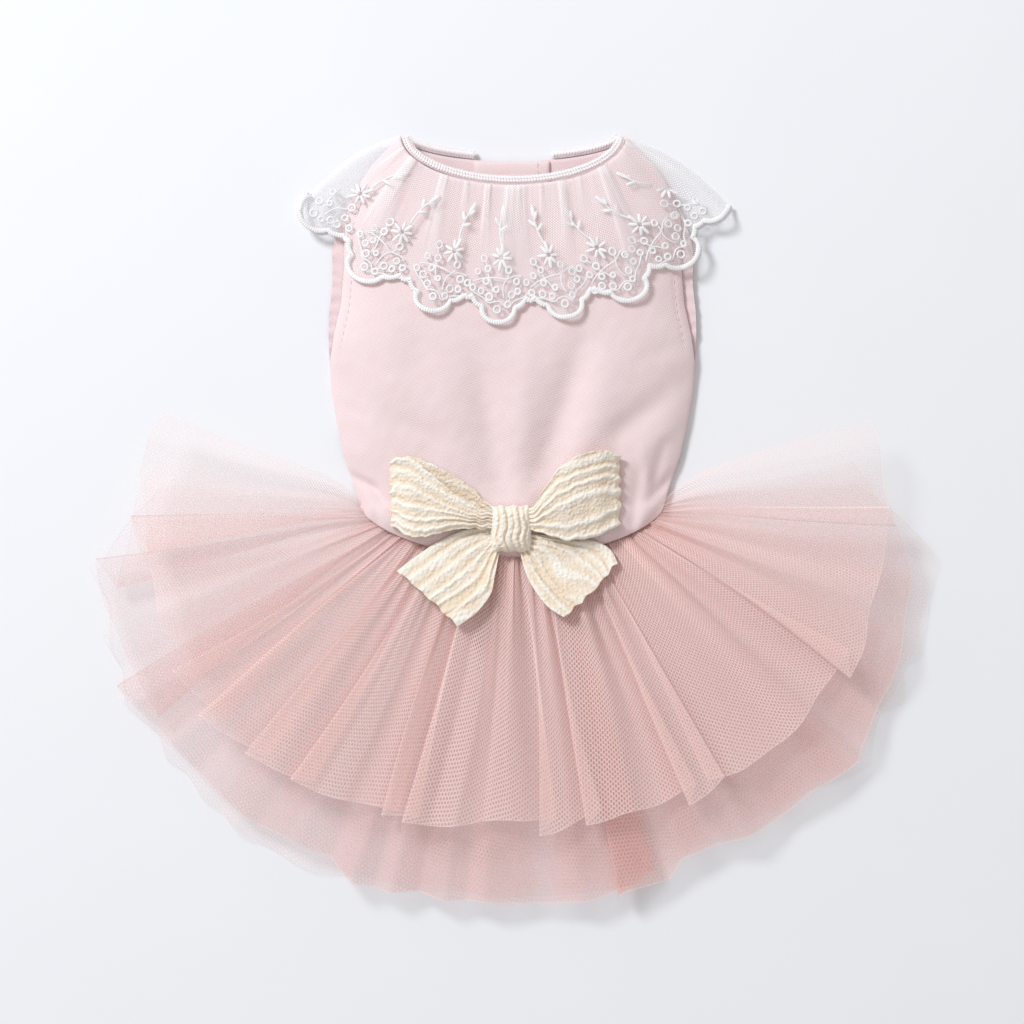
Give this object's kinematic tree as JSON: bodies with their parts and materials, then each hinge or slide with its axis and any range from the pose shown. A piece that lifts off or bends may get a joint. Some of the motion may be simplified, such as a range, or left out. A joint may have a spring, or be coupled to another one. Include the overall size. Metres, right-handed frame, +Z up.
{
  "type": "pet dress",
  "caption": "Small pet dress laid flat: pink knit bodice, scalloped lace collar, layered tulle skirt and cream bow at the waist.",
  "frame": {"origin": "under the middle of the dress, on the surface it lies on", "axes": "+X across the dress towards its right side as seen from above, +Y towards the neck, +Z up out of the surface"},
  "size_m": [0.3467, 0.3155, 0.0194],
  "materials": {
    "knit": "matte soft knit",
    "binding": "matte fuzzy edging",
    "lace": "matte embroidered net",
    "tulle": "fine soft net",
    "crinkle": "matte crinkled cotton"
  },
  "bodies": {
    "root": {"back_bodice": "knit", "belly_bodice_left": "knit", "belly_bodice_right": "knit", "front_placket": "knit", "neck_binding": "binding", "neck_binding_under_right": "binding", "neck_binding_under_left": "binding", "lace_collar": "lace", "lace_collar_under_right": "lace", "lace_collar_under_left": "lace", "tulle_bottom": "tulle", "tulle_middle": "tulle", "tulle_top": "tulle", "bow_loop_left": "crinkle", "bow_loop_right": "crinkle", "bow_tail_left": "crinkle", "bow_tail_right": "crinkle", "bow_knot": "crinkle"}
  },
  "joints": []
}
